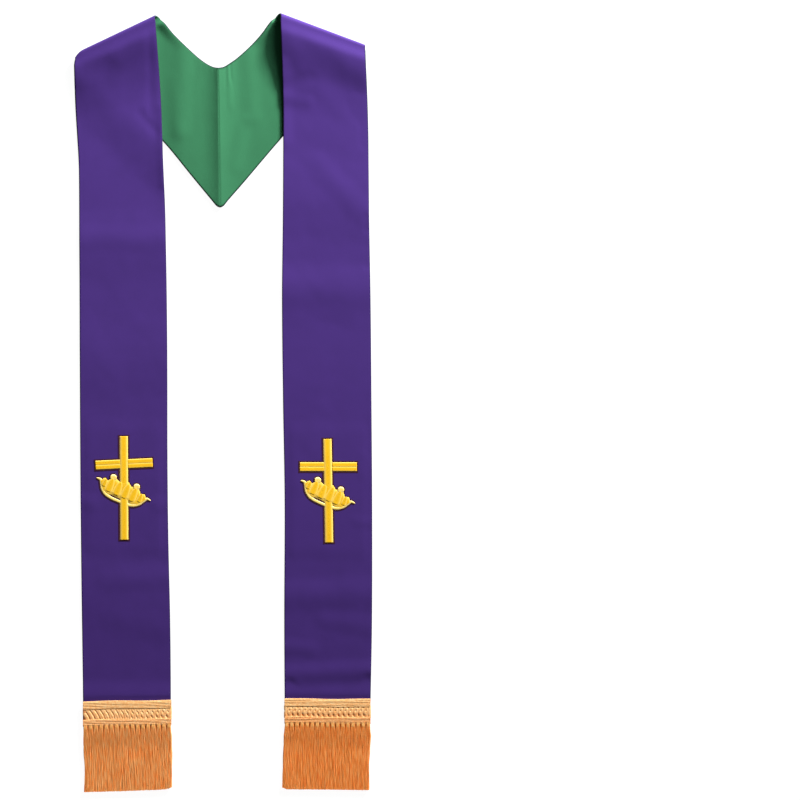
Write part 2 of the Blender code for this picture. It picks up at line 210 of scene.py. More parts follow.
def smoothstep(share):
    """0 to 1 with a level start and end."""
    share = min(1.0, max(0.0, share))
    return share * share * (3 - 2 * share)


def mix(first, last, share):
    """The value or point that lies this share of the way from first to last."""
    return first + (last - first) * share


def curve_through(points):
    """A smooth curve through the points, as a function of the share of its length."""
    points = [Vector(p) for p in points]
    knots = [0.0]
    for before, after in zip(points, points[1:]):
        knots.append(knots[-1] + (after - before).length)
    last = len(points) - 1

    def slope(i):
        low, high = max(i - 1, 0), min(i + 1, last)
        return (points[high] - points[low]) / (knots[high] - knots[low])

    def at(share):
        run = min(1.0, max(0.0, share)) * knots[-1]
        i = next((k for k in range(last) if run <= knots[k + 1]), last - 1)
        span = knots[i + 1] - knots[i]
        t = (run - knots[i]) / span
        start = points[i] * (2 * t**3 - 3 * t**2 + 1) + slope(i) * (span * (t**3 - 2 * t**2 + t))
        end = points[i + 1] * (3 * t**2 - 2 * t**3) + slope(i + 1) * (span * (t**3 - t**2))
        return start + end

    return at


def share_where(reached):
    """The share, from 0 to 1, at which a measure that grows along a curve reaches its mark."""
    low, high = 0.0, 1.0
    for _ in range(30):
        middle = (low + high) / 2
        if reached(middle):
            high = middle
        else:
            low = middle
    return high


def shoulder(side):
    """The fold's line, the way in from it, and the edges of cloth that leave it."""
    outer, neck = Vector(side["fold_outer"]), Vector(side["fold_neck"])
    along = (neck - outer).normalized()
    inward = Vector((along.y, -along.x))
    if inward.y > 0:
        inward = -inward
    return {
        "origin": outer,
        "along": along,
        "inward": inward,
        "front_outer": curve_through([outer] + [(x, y) for y, x, _ in side["front"]]),
        "front_inner": curve_through([neck] + [(x, y) for y, _, x in side["front"]]),
        "neck": curve_through([neck] + side["neck"] + [SEAM_TOP]),
        "point": curve_through([outer] + side["point"] + [SEAM_POINT]),
        "rest_slope": (side["point"][1][1] - outer.y) / (side["point"][1][0] - outer.x),
    }


def roll_radius(across):
    """Radius of the shoulder fold, to the middle of the cloth's thickness."""
    return mix(ROLL_OUTER, ROLL_NECK, across)


def roll_centre(across):
    """How far in from the outermost line of the fold its axis lies."""
    return roll_radius(across) + HALF_STACK


def fold_height(folds, place):
    """Height of the soft folds and creases at this place."""
    height = 0.0
    for x0, y0, x1, y1, half_width, rise in folds:
        if min(y0, y1) - half_width < place.y < max(y0, y1) + half_width:
            start, way = Vector((x0, y0)), Vector((x1 - x0, y1 - y0))
            share = min(1.0, max(0.0, (place - start).dot(way) / way.length_squared))
            away = (place - start - way * share).length / half_width
            if away < 1.0:
                height += rise * (0.5 + 0.5 * math.cos(math.pi * away))
    return height


def slack(place, seed):
    """The faint unevenness of cloth that has been folded and opened again."""
    broad = noise.noise(Vector((place.x / 55.0, place.y / 70.0, seed)))
    fine = noise.noise(Vector((place.x / 17.0, place.y / 21.0, seed + 7.0)))
    return 0.38 * broad + 0.11 * fine


def emblem_lift(side, place):
    """The front lies a little higher where it is stiff with embroidery on both faces."""
    emblem = side["emblem"]
    away_x = max(0.0, abs(place.x - emblem["x"]) - EMBLEM_HALF[0]) / EMBLEM_FADE[0]
    away_y = max(0.0, abs(place.y - emblem["top"] + EMBLEM_DROP) - EMBLEM_HALF[1]) / EMBLEM_FADE[1]
    return EMBLEM_LIFT * (1.0 - smoothstep(math.hypot(away_x, away_y)))


def front_height(side, fold, place, across):
    """Height of the middle of a front's thickness at this place on the floor plan."""
    edge_y = fold["origin"].y + (place.x - fold["origin"].x) * fold["rest_slope"]
    clear = (edge_y - place.y) * math.sqrt(0.5)
    on_back = 1.0 - smoothstep((clear - REST_MARGIN) / REST_RUN)
    calm = smoothstep((place.y - TRIM_TOP_Y - CALM_MARGIN) / CALM_RUN)
    rest = HALF_STACK + (STACK + LIE_GAP) * on_back + emblem_lift(side, place)
    climbed = (TRIM_TOP_Y + TRIM_CLIMB - place.y) / (TRIM_CLIMB - TRIM_LEVEL)
    rest += (TRIM_WALL + 2 * HALF_GAP) * smoothstep(climbed)
    low, high = sorted(side["front"][-1][1:])
    top_edge = mix(*side["trim_tops"], (place.x - low) / (high - low))
    from_edge = min(1.0, abs(place.y - top_edge) / TRIM_PRESS_REACH)
    rest -= TRIM_PRESS * (0.5 + 0.5 * math.cos(math.pi * from_edge))
    uneven = fold_height(side["front_folds"], place) + slack(place, 3.0 if side is LEFT else 11.0)
    rest += calm * max(uneven, -SAG_LIMIT * on_back)
    depth = (place - fold["origin"]).dot(fold["inward"]) - roll_centre(across)
    fallen = min(1.0, max(0.0, depth / mix(*side["loft_run"], across)))
    loft = 1.0 - mix(fallen, smoothstep(fallen), LOFT_EASE) * smoothstep(depth / LOFT_START)
    top = HALF_STACK + 2 * roll_radius(across)
    settled = smoothstep(depth / SETTLE_RUN)
    start = HALF_STACK + STACK + LIE_GAP
    return mix(start, rest, settled) + (top - start) * loft


def back_height(side, fold, place, across):
    """Height of the middle of the back's thickness, which climbs to the ridge of its seam."""
    share = min(1.0, max(0.0, (SEAM_TOP[1] - place.y) / (SEAM_TOP[1] - SEAM_POINT[1])))
    seam_x = mix(SEAM_TOP[0], SEAM_POINT[0], share)
    crest, width = RIDGE_LEFT if side is LEFT else RIDGE_RIGHT
    away = min(1.0, abs(place.x - seam_x) / width)
    swell = BACK_SWELL * smoothstep((place.x - seam_x + SWELL_START) / SWELL_RUN) if side is LEFT else 0.0
    ridge = (swell + crest * (1.0 - away) ** RIDGE_SHARP) * (1.0 - RIDGE_FADE * share**2)
    covered = smoothstep((abs(place.x - seam_x) - COVER_START) / COVER_RUN)
    uneven = max(0.0, fold_height(side["back_folds"], place) + 0.5 * slack(place, 23.0) + 0.12)
    depth = (place - fold["origin"]).dot(fold["inward"]) - roll_centre(across)
    from_neck = (place - Vector(side["fold_neck"])).length
    lip = side["neck_lip"] * smoothstep((across - LIP_START) / (1.0 - LIP_START))
    lip *= smoothstep(depth / LIP_RISE)
    lip *= 1.0 - smoothstep(from_neck / LIP_REACH)
    return HALF_STACK + ridge + (1.0 - covered) * uneven + lip


def soft_corner(side, fold, spot):
    """Draws the outer end of the shoulder fold in, where the corner of the cloth is not sharp."""
    run = (spot.xy - fold["origin"]).dot(fold["along"])
    depth = (spot.xy - fold["origin"]).dot(fold["inward"])
    near = (1.0 - min(1.0, max(0.0, run) / CORNER_RUN)) ** 2
    shift = fold["inward"] * (side["corner_round"] * near * max(0.0, 1.0 - depth / CORNER_DEPTH))
    return spot + Vector((shift.x, shift.y, 0.0))


ROW_LENGTH = 4.0
ROLL_STEPS = 14
BACK_ROWS = 78


def band_sections(side):
    """Sections of a band from its hem, up the front, round the shoulder and down to the seam.

    Each gives, for a share across the band, the middle of the cloth and the way towards the
    purple face.
    """
    fold = shoulder(side)
    depths = {"front_outer": 0.0, "front_inner": 1.0, "neck": 1.0, "point": 0.0}
    starts = {}
    for edge, across in depths.items():
        curve, depth = fold[edge], roll_centre(across)
        starts[edge] = share_where(lambda s: (curve(s) - fold["origin"]).dot(fold["inward"]) >= depth)
    first_outer = fold["front_outer"](starts["front_outer"]).y
    first_inner = fold["front_inner"](starts["front_inner"]).y
    level = (first_outer + first_inner) / 2
    half_slant = (first_inner - first_outer) / 2
    length = level - CLOTH_END_Y
    rows = round(length / ROW_LENGTH)

    def front_section(run):
        slant = half_slant * (1.0 - smoothstep(run / SLANT_RUN))
        outer_share = share_where(lambda s: fold["front_outer"](s).y <= level - run - slant)
        inner_share = share_where(lambda s: fold["front_inner"](s).y <= level - run + slant)
        outer, inner = fold["front_outer"](outer_share), fold["front_inner"](inner_share)

        def at(across):
            place = mix(outer, inner, across)
            spot = Vector((place.x, place.y, front_height(side, fold, place, across)))
            return spot, Vector((0.0, 0.0, 1.0))

        return at

    front_first = front_section(0.0)
    back_outer, back_neck = fold["point"](starts["point"]), fold["neck"](starts["neck"])

    def roll_section(step):
        turned = step / ROLL_STEPS
        angle = math.pi * (0.5 - turned)

        def at(across):
            front_along = (front_first(across)[0].xy - fold["origin"]).dot(fold["along"])
            back_along = (mix(back_outer, back_neck, across) - fold["origin"]).dot(fold["along"])
            radius = roll_radius(across)
            away, up = math.cos(angle), abs(math.sin(angle))
            side_of = math.copysign(1.0, math.sin(angle))
            depth = roll_centre(across) - radius * away**ROLL_CREASE
            place = fold["origin"] + fold["along"] * mix(front_along, back_along, turned)
            place += fold["inward"] * depth
            height = HALF_STACK + radius * (1.0 + side_of * up**ROLL_CREASE)
            out = -fold["inward"] * away ** (2.0 - ROLL_CREASE)
            outward = Vector((out.x, out.y, side_of * up ** (2.0 - ROLL_CREASE)))
            return Vector((place.x, place.y, height)), outward.normalized()

        return at

    def back_section(share):
        outer = fold["point"](mix(starts["point"], 1.0, share))
        neck = fold["neck"](mix(starts["neck"], 1.0, share))

        def at(across):
            place = mix(outer, neck, across)
            spot = Vector((place.x, place.y, back_height(side, fold, place, across)))
            return spot, Vector((0.0, 0.0, -1.0))

        return at

    sections = [front_section(length * (1.0 - i / rows)) for i in range(rows)]
    sections += [front_first]
    sections += [roll_section(step) for step in range(1, ROLL_STEPS)]
    sections += [back_section(i / BACK_ROWS) for i in range(BACK_ROWS)]
    sections += [back_section(1.0 - 0.1 / BACK_ROWS), back_section(1.0)]
    return sections


BAND_WIDTH = 131.0
INNER_COLUMNS = 32
EDGE_TURN = [
    # distance in from the edge, height of the face above the seam
    (0.0, 0.08),
    (0.14, 0.66),
    (0.48, 0.98),
    (1.0, 1.12),
    (2.4, 1.14),
    (5.2, 1.15),
]
SHEET_WALL = 0.5
SEAM_DIP = 1.0
SPILL_FRONT = 0.45
SPILL_FRONT_Y = 360.0
SPILL_FRONT_RUN = 60.0
SPILL_BACK = 0.6
SPILL_BACK_ROWS = 6


def spill(facing, row, section):
    """How far a face rolls out past the seam, so that a thin line of it frames the other face.

    Rows count back from the centre back seam, which is row 0.
    """
    place = section(0.5)[0]
    if row > -BACK_ROWS - 2:
        return SPILL_BACK * smoothstep((row + BACK_ROWS + 1) / SPILL_BACK_ROWS) if facing > 0 else 0.0
    on_front = facing < 0 and row < -BACK_ROWS - ROLL_STEPS - 1
    return SPILL_FRONT * smoothstep((place.y - SPILL_FRONT_Y) / SPILL_FRONT_RUN) if on_front else 0.0


def band_columns():
    """Share across the band and height over the seam of each column of the cloth's grid."""
    low = [(inset / BAND_WIDTH, height) for inset, height in EDGE_TURN]
    first = low[-1][0]
    inner = [
        (mix(first, 1.0 - first, (i + 1) / INNER_COLUMNS), WALL + HALF_GAP)
        for i in range(INNER_COLUMNS - 1)
    ]
    return low + inner + [(1.0 - share, height) for share, height in reversed(low)]


def finished(builder, name, material):
    """Turns a bmesh in millimetres into a smooth-shaded piece that rides on the stole."""
    bmesh.ops.scale(builder, vec=(MM, MM, MM), verts=builder.verts)
    mesh = bpy.data.meshes.new(name)
    builder.to_mesh(mesh)
    builder.free()
    mesh.shade_smooth()
    mesh.materials.append(material)
    piece = bpy.data.objects.new(name, mesh)
    bpy.context.scene.collection.objects.link(piece)
    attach(piece, "root")
    return piece


def cloth_face(side, name, facing, material):
    """One face of a band: a sheet of twill on its side of the seam, with its edges turned in."""
    sections, columns, fold = band_sections(side), band_columns(), shoulder(side)
    rows = len(sections) - 1
    builder = bmesh.new()
    bmesh.ops.create_grid(builder, x_segments=len(columns) - 1, y_segments=rows, size=0.5)
    weave = builder.loops.layers.uv.new("weave")
    places = {}
    middle = sections[0](0.5)[0]
    run = 0.0
    runs = []
    for section in sections:
        here = section(0.5)[0]
        run += (here - middle).length
        middle = here
        runs.append(run)
    for corner in builder.verts:
        column = round((corner.co.x + 0.5) * (len(columns) - 1))
        row = round((corner.co.y + 0.5) * rows)
        places[corner.index] = (columns[column][0] * BAND_WIDTH, runs[row])
        share, height = columns[column]
        if row == rows:
            height = min(height, SEAM_DIP)
        wider = 1.0 + 2.0 * spill(facing, row - rows, sections[row]) / BAND_WIDTH
        spot, outward = sections[row](0.5 + (share - 0.5) * wider)
        corner.co = soft_corner(side, fold, spot + outward * (facing * height))
    for face in builder.faces:
        for loop in face.loops:
            across, along = places[loop.vert.index]
            loop[weave].uv = (across * MM, along * MM)
    if (side is RIGHT) == (facing > 0):
        bmesh.ops.reverse_faces(builder, faces=builder.faces)
    area = sum(face.calc_area() for face in builder.faces)
    piece = finished(builder, name, material)
    wall = piece.modifiers.new("wall", "SOLIDIFY")
    wall.thickness = SHEET_WALL * MM
    wall.offset = -1.0
    return piece, area * MM * MM


def twill(name, ground, groove, sheen_tint):
    """Matte twill: fine diagonal ribs with painted shade between them, a little uneven in tone, and painted
    shade along its turned edges.
    """
    material = bpy.data.materials.new(name)
    material.use_nodes = True
    nodes, links = material.node_tree.nodes, material.node_tree.links
    shader = nodes["Principled BSDF"]
    shader.inputs["Roughness"].default_value = 0.82
    shader.inputs["Specular IOR Level"].default_value = 0.16
    shader.inputs["Sheen Weight"].default_value = 0.08
    shader.inputs["Sheen Roughness"].default_value = 0.45
    shader.inputs["Sheen Tint"].default_value = sheen_tint
    place = nodes.new("ShaderNodeUVMap")
    place.uv_map = "weave"
    ribs = nodes.new("ShaderNodeTexWave")
    ribs.bands_direction = "DIAGONAL"
    ribs.inputs["Scale"].default_value = 560.0
    ribs.inputs["Distortion"].default_value = 0.6
    ribs.inputs["Detail"].default_value = 1.0
    links.new(place.outputs["UV"], ribs.inputs["Vector"])
    mottle = nodes.new("ShaderNodeTexNoise")
    mottle.inputs["Scale"].default_value = 34.0
    mottle.inputs["Detail"].default_value = 4.0
    links.new(place.outputs["UV"], mottle.inputs["Vector"])
    # The rib pattern is the weave's own. The darker groove colour between the ribs is painted shade.
    shade = nodes.new("ShaderNodeMix")
    shade.data_type = "RGBA"
    shade.inputs["A"].default_value = groove
    shade.inputs["B"].default_value = ground
    blend = nodes.new("ShaderNodeMapRange")
    blend.inputs["To Min"].default_value = 0.55
    blend.inputs["To Max"].default_value = 1.0
    links.new(ribs.outputs["Fac"], blend.inputs["Value"])
    links.new(blend.outputs["Result"], shade.inputs["Factor"])
    uneven = nodes.new("ShaderNodeMapRange")
    uneven.inputs["To Min"].default_value = 0.93
    uneven.inputs["To Max"].default_value = 1.07
    links.new(mottle.outputs["Fac"], uneven.inputs["Value"])
    # Painted shade: within 2 mm of either edge of the band the colour darkens to 0.35, for the shade where
    # the turned edge rolls down to the seam.
    split = nodes.new("ShaderNodeSeparateXYZ")
    links.new(place.outputs["UV"], split.inputs["Vector"])
    middle = nodes.new("ShaderNodeMath")
    middle.operation = "SUBTRACT"
    middle.inputs[1].default_value = BAND_WIDTH * MM / 2
    links.new(split.outputs["X"], middle.inputs[0])
    away = nodes.new("ShaderNodeMath")
    away.operation = "ABSOLUTE"
    links.new(middle.outputs["Value"], away.inputs[0])
    edge_shade = nodes.new("ShaderNodeMapRange")
    edge_shade.inputs["From Min"].default_value = (BAND_WIDTH / 2 - 2.0) * MM
    edge_shade.inputs["From Max"].default_value = (BAND_WIDTH / 2 - 0.3) * MM
    edge_shade.inputs["To Min"].default_value = 1.0
    edge_shade.inputs["To Max"].default_value = 0.35
    links.new(away.outputs["Value"], edge_shade.inputs["Value"])
    value = nodes.new("ShaderNodeMath")
    value.operation = "MULTIPLY"
    links.new(uneven.outputs["Result"], value.inputs[0])
    links.new(edge_shade.outputs["Result"], value.inputs[1])
    tone = nodes.new("ShaderNodeHueSaturation")
    links.new(value.outputs["Value"], tone.inputs["Value"])
    links.new(shade.outputs["Result"], tone.inputs["Color"])
    links.new(tone.outputs["Color"], shader.inputs["Base Color"])
    bump = nodes.new("ShaderNodeBump")
    bump.inputs["Strength"].default_value = 0.35
    bump.inputs["Distance"].default_value = 0.00006
    links.new(ribs.outputs["Fac"], bump.inputs["Height"])
    links.new(bump.outputs["Normal"], shader.inputs["Normal"])
    return material


# groove is the painted shade between the twill's ribs.
green_twill = twill(
    "green_twill",
    ground=(0.0295, 0.160, 0.073, 1.0),
    groove=(0.017, 0.100, 0.043, 1.0),
    sheen_tint=(0.55, 0.85, 0.65, 1.0),
)
for side in SIDES:
    name = f"{side['name']}_green_face"
    piece, area = cloth_face(side, name, -1, green_twill)
    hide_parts(f"{side['name']}_green_band")


# Purple faces
# The same bands again in purple twill. On the fronts they lie on top; at the shoulder they turn
# round the green, so that on the back they are underneath.

# groove is the painted shade between the twill's ribs.
purple_twill = twill(
    "purple_twill",
    ground=(0.0495, 0.0186, 0.160, 1.0),
    groove=(0.030, 0.0112, 0.108, 1.0),
    sheen_tint=(0.62, 0.55, 0.9, 1.0),
)
for side in SIDES:
    name = f"{side['name']}_purple_face"
    piece, area = cloth_face(side, name, 1, purple_twill)
    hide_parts(f"{side['name']}_purple_band")


# Hem trims
# A gold rayon braid closes each hem on both faces. Flat knitted bands run along its edges. Between
# them yarns slant down, or part and leave rows of small holes. Short tufts hold the fringe.

TRIM_OVERHANG = 0.8
TUFT_PITCH = 7.75
FACE_TRIM_Z = 4.15
UNDER_TRIM_Z = 1.2
LOOP_TOP = 10.4
LOOP_FOOT = 28.6
TUFT_TOP = 35.2
TUFT_FOOT = 42.6
CORD_ROWS = [
    # depth below the top edge, thickness, height above the braid's ground
    (0.7, 1.5, 0.6),
    (2.6, 2.9, 0.5),
    (4.8, 2.9, 0.5),
    (7.0, 2.9, 0.5),
    (9.2, 2.9, 0.5),
    (11.0, 2.4, 0.6),
    (28.2, 2.3, 0.65),
    (30.2, 2.9, 0.5),
    (32.4, 2.9, 0.5),
    (34.6, 2.9, 0.5),
    (36.4, 2.2, 0.4),
]
STITCH_PITCH = 2.6
CORD_INSET = 0.7
LOOP_INSET = 2.4
LOOP_HALF = (2.25, 2.7)
GROUND_DROP = 0.6
GROUND_DEPTH = 36.4
GROUND_TUCK = 0.35
GROUND_Z = (-0.02, 0.3)
PAIR_HALF = 0.8
LOOP_LIFT = 0.3
LOOP_ARCH = 0.25
TUFT_SPREAD = 1.6
TUFT_HALF = 1.25
TUFT_LIFT = 0.62
TUFT_WAIST = 0.2
TUFT_BOW = 0.35
UNDER_SQUASH = 0.55
HOLES = [
    # share of the way down a loop, which neighbour it leaves, how far, over what share
    (0.17, 1, 1.35, 0.13),
    (0.4, -1, 1.3, 0.13),
    (0.76, 1, 2.3, 0.2),
]


def trim_edges(side):
    """Low and high x of the braid, which stands a little proud of the cloth's two edges."""
    _, outer, inner = side["front"][-1]
    return min(outer, inner) - TRIM_OVERHANG, max(outer, inner) + TRIM_OVERHANG


def trim_top(side, x):
    """Height up the stole of the braid's top edge, which is sewn on a little askew."""
    low, high = trim_edges(side)
    return mix(*side["trim_tops"], (x - low) / (high - low)) + 0.3 * math.sin(x / 15.0)


def laid_yarns(paths, steps, sides, half_width, flatness=1.0):
    """Yarns drawn out together, ring by ring, each along its own path."""
    builder = bmesh.new()
    number = builder.faces.layers.int.new("yarn")
    faces = []
    for index in range(len(paths)):
        corners = bmesh.ops.create_circle(builder, cap_ends=True, segments=sides, radius=1.0)["verts"]
        face = corners[0].link_faces[0]
        face[number] = index
        faces.append(face)
    for step in range(steps + 1):
        share = step / steps
        if step:
            faces = bmesh.ops.extrude_discrete_faces(builder, faces=faces)["faces"]
        for face in faces:
            index = face[number]
            path = paths[index]
            middle = path(share)
            ahead = (path(share + 0.004) - path(share - 0.004)).normalized()
            across = ahead.cross(Vector((0.0, 0.0, 1.0))).normalized()
            lift = across.cross(ahead)
            radius = half_width(index, share)
            for turn, corner in enumerate(face.verts):
                angle = 2 * math.pi * turn / sides
                corner.co = middle + (across * math.cos(angle) + lift * (math.sin(angle) * flatness)) * radius
    open_rings = [edge for edge in builder.edges if edge.is_boundary]
    for edge in open_rings + [edge for face in faces for edge in face.edges]:
        edge.smooth = False
    bmesh.ops.holes_fill(builder, edges=open_rings, sides=sides)
    bmesh.ops.recalc_face_normals(builder, faces=builder.faces)
    return builder


def rayon(name, shades, streaks, roughness, sheen, foot=(1.0, 1.0, 1.0, 1.0)):
    """Lustrous rayon yarn: streaked along its run, and darker towards the foot of a braid by a factor given
    for each hem.
    """
    material = bpy.data.materials.new(name)
    material.use_nodes = True
    nodes, links = material.node_tree.nodes, material.node_tree.links
    shader = nodes["Principled BSDF"]
    shader.inputs["Roughness"].default_value = roughness
    shader.inputs["Specular IOR Level"].default_value = 0.2
    shader.inputs["Sheen Weight"].default_value = sheen
    shader.inputs["Sheen Roughness"].default_value = 0.4
    shader.inputs["Sheen Tint"].default_value = (1.0, 0.62, 0.3, 1.0)
    place = nodes.new("ShaderNodeTexCoord")
    stretch = nodes.new("ShaderNodeMapping")
    stretch.inputs["Scale"].default_value = streaks
    streak = nodes.new("ShaderNodeTexNoise")
    streak.inputs["Scale"].default_value = 1.0
    streak.inputs["Detail"].default_value = 2.0
    shade = nodes.new("ShaderNodeValToRGB")
    shade.color_ramp.elements[0].position = 0.32
    shade.color_ramp.elements[0].color = shades[0]
    shade.color_ramp.elements[1].position = 0.5
    shade.color_ramp.elements[1].color = shades[1]
    shade.color_ramp.elements.new(0.7).color = shades[2]
    plies = nodes.new("ShaderNodeTexWave")
    plies.bands_direction = "DIAGONAL"
    plies.inputs["Scale"].default_value = 420.0
    plies.inputs["Distortion"].default_value = 1.5
    bump = nodes.new("ShaderNodeBump")
    bump.inputs["Strength"].default_value = 0.2
    bump.inputs["Distance"].default_value = 0.0002
    links.new(place.outputs["Object"], stretch.inputs["Vector"])
    links.new(stretch.outputs["Vector"], streak.inputs["Vector"])
    links.new(place.outputs["Object"], plies.inputs["Vector"])
    links.new(streak.outputs["Fac"], shade.inputs["Fac"])
    split = nodes.new("ShaderNodeSeparateXYZ")
    lower = nodes.new("ShaderNodeMapRange")
    lower.inputs["From Min"].default_value = (TRIM_TOP_Y - 9.0) * MM
    lower.inputs["From Max"].default_value = (TRIM_TOP_Y - 24.0) * MM
    deepen = nodes.new("ShaderNodeMix")
    deepen.data_type = "RGBA"
    deepen.blend_type = "MULTIPLY"
    deepen.inputs["B"].default_value = foot
    links.new(place.outputs["Object"], split.inputs["Vector"])
    links.new(split.outputs["Y"], lower.inputs["Value"])
    links.new(lower.outputs["Result"], deepen.inputs["Factor"])
    links.new(shade.outputs["Color"], deepen.inputs["A"])
    links.new(deepen.outputs["Result"], shader.inputs["Base Color"])
    links.new(plies.outputs["Fac"], bump.inputs["Height"])
    links.new(bump.outputs["Normal"], shader.inputs["Normal"])
    return material


def braid_ground(side, base, facing, name, material):
    """The braid's thin woven ground, which shows only in its holes. Its dark colour is painted shade."""
    low, high = trim_edges(side)
    builder = bmesh.new()
    bmesh.ops.create_grid(builder, x_segments=40, y_segments=12, size=0.5)
    made = bmesh.ops.extrude_face_region(builder, geom=builder.faces[:], use_keep_orig=True)
    raised = {item for item in made["geom"] if isinstance(item, bmesh.types.BMVert)}
    for corner in builder.verts:
        across, down = corner.co.x + 0.5, 0.5 - corner.co.y
        edge = GROUND_TUCK if across in (0.0, 1.0) else 0.0
        x = mix(low + edge, high - edge, across)
        y = trim_top(side, x) - GROUND_DROP - GROUND_DEPTH * down
        corner.co = Vector((x, y, base + facing * GROUND_Z[corner in raised]))
    bmesh.ops.recalc_face_normals(builder, faces=builder.faces)
    return finished(builder, name, material)


def band_cord(side, base, facing, row):
    """One knitted cord that runs the width of the braid and wavers with its stitches."""
    low, high = trim_edges(side)
    depth, _, height = CORD_ROWS[row]
    phase = 2.1 * row

    def path(share):
        x = mix(low + CORD_INSET, high - CORD_INSET, share)
        sway = 0.14 * math.sin(2 * math.pi * x / STITCH_PITCH + phase) + 0.2 * math.sin(x / 21.0 + row)
        return Vector((x, trim_top(side, x) - depth - sway, base + facing * height))

    return path


def loop_yarn(side, pair_x, way, base, facing):
    """One yarn of the open middle: it slants down and parts from its neighbours at the holes."""
    low, high = trim_edges(side)
    order = min(1.0, max(0.0, (pair_x - low) / (high - low)))
    slant = mix(*side["loop_slant"], order)
    open_share = mix(*side["loop_open"], order)
    x = pair_x + way * mix(PAIR_HALF, TUFT_PITCH / 4, open_share)

    def path(share):
        lean = slant * (1.0 - (1.0 - min(1.0, max(0.0, share))) ** 1.5)
        swing = 0.0
        for hole, towards, reach, spread in HOLES:
            swing += towards * reach * math.cos(min(1.0, abs(share - hole) / spread) * math.pi / 2) ** 1.5
        place = x + lean + way * open_share * swing
        place = min(high - LOOP_INSET, max(low + LOOP_INSET, place))
        arch = math.sin(math.pi * min(1.0, max(0.0, share))) ** 0.7
        y = trim_top(side, place) - mix(LOOP_TOP, LOOP_FOOT, share)
        return Vector((place, y, base + facing * (LOOP_LIFT + LOOP_ARCH * arch)))

    return path


def bound_tuft(side, x, spread, base, facing):
    """One yarn of the short tuft that binds a lock of fringe to the braid."""

    def path(share):
        waist = 1.0 - TUFT_WAIST * math.sin(math.pi * min(1.0, max(0.0, share)))
        place = x + spread * waist
        y = trim_top(side, place) - mix(TUFT_TOP, TUFT_FOOT, share) + TUFT_BOW * abs(spread)
        return Vector((place, y, base + facing * TUFT_LIFT))

    return path


tuft_gold = rayon(
    "tuft_gold",
    shades=[(1.0, 0.37, 0.085, 1.0), (1.0, 0.48, 0.14, 1.0), (1.0, 0.56, 0.19, 1.0)],
    streaks=(500.0, 200.0, 300.0),
    roughness=0.6,
    sheen=0.3,
)
# Painted shade: the braid's ground and the fringe tape are darker than its yarns, for the shade in the holes
# and gaps where they show.
shaded_ground_gold = rayon(
    "shaded_ground_gold",
    shades=[(0.70, 0.15, 0.024, 1.0), (0.78, 0.19, 0.032, 1.0), (0.86, 0.24, 0.042, 1.0)],
    streaks=(700.0, 700.0, 300.0),
    roughness=0.8,
    sheen=0.0,
)
for side in SIDES:
    low, high = trim_edges(side)
    tufts = round((high - low) / TUFT_PITCH)
    pitch = (high - low) / tufts
    trim_gold = rayon(
        f"{side['name']}_trim_gold",
        shades=[(0.92, 0.45, 0.155, 1.0), (1.0, 0.56, 0.23, 1.0), (1.0, 0.66, 0.32, 1.0)],
        streaks=(300.0, 420.0, 300.0),
        roughness=0.65,
        sheen=0.3,
        foot=side["trim_foot"],
    )
    for face_name, base, facing in (("face", FACE_TRIM_Z, 1), ("under", UNDER_TRIM_Z, -1)):
        name = f"{side['name']}_trim_{face_name}"
        ground = braid_ground(side, base, facing, f"{name}_ground", shaded_ground_gold)
        squash = 1.0 if facing > 0 else UNDER_SQUASH
        cords = laid_yarns(
            [band_cord(side, base, facing * squash, row) for row in range(len(CORD_ROWS))],
            steps=150,
            sides=6,
            half_width=lambda row, share: CORD_ROWS[row][1] / 2 * (1.0 + 0.1 * math.sin(share * 320.0 + row)),
            flatness=0.6 * squash,
        )
        bands = finished(cords, f"{name}_bands", trim_gold)
        loop_paths, loop_halves = [], []
        for i in range(-round(side["loop_slant"][0] / pitch), tufts):
            for way in (-1, 1):
                loop_paths.append(loop_yarn(side, low + pitch * (i + 0.5), way, base, facing * squash))
                opened = mix(*side["loop_open"], max(0.0, (i + 0.5) / tufts))
                loop_halves.append(mix(*LOOP_HALF, opened))
        slants = laid_yarns(
            loop_paths,
            steps=20,
            sides=8,
            half_width=lambda index, share: loop_halves[index],
            flatness=0.2 * squash,
        )
        loops = finished(slants, f"{name}_loops", trim_gold)
        tuft_paths = []
        for i in range(tufts):
            for spread in (-TUFT_SPREAD, 0.0, TUFT_SPREAD):
                tuft_paths.append(bound_tuft(side, low + pitch * (i + 0.5), spread, base, facing * squash))
        ties = laid_yarns(
            tuft_paths,
            steps=6,
            sides=6,
            half_width=lambda index, share: TUFT_HALF * (1.0 - 0.5 * share**12),
            flatness=0.6 * squash,
        )
        tied = finished(ties, f"{name}_tufts", tuft_gold)
        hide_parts(name)


# Fringe
# Twisted rayon yarns are gathered in the tufts and hang loose to their cut ends, several layers
# deep on the table. A narrow woven tape inside the braid holds their upper ends.

FRINGE_DEPTH = 36.8
STRANDS = 820
STRAND_STEPS = 11
STRAND_WIDTH = 1.08
FRINGE_INSET = 0.7
GATHERED = 0.7
LAYERS = 4
LAYER_RISE = 0.95
LAYER_STEP = 0.7
END_UNEVEN = 0.7
ROOT_Z = 2.0
LOWEST_YARN = 0.8
YARN_FLOOR = 0.68
OPEN_START = 2.0
OPEN_RUN = 16.0
FALL_START = 4.0
FALL_RUN = 36.0
LOCK_WANDER = 2.0
YARN_WANDER = 1.3
TAPE_INSET = 1.0
TAPE_DROP = 34.0
TAPE_DEPTH = 20.0
TAPE_Z = (1.3, 1.45)


def end_of_fringe(side, share):
    """How far down the fringe is cut, at this share of its width."""
    points = side["fringe_end"]
    for (x0, y0), (x1, y1) in zip(points, points[1:]):
        if share <= x1:
            return mix(y0, y1, (share - x0) / (x1 - x0))
    return points[-1][1]


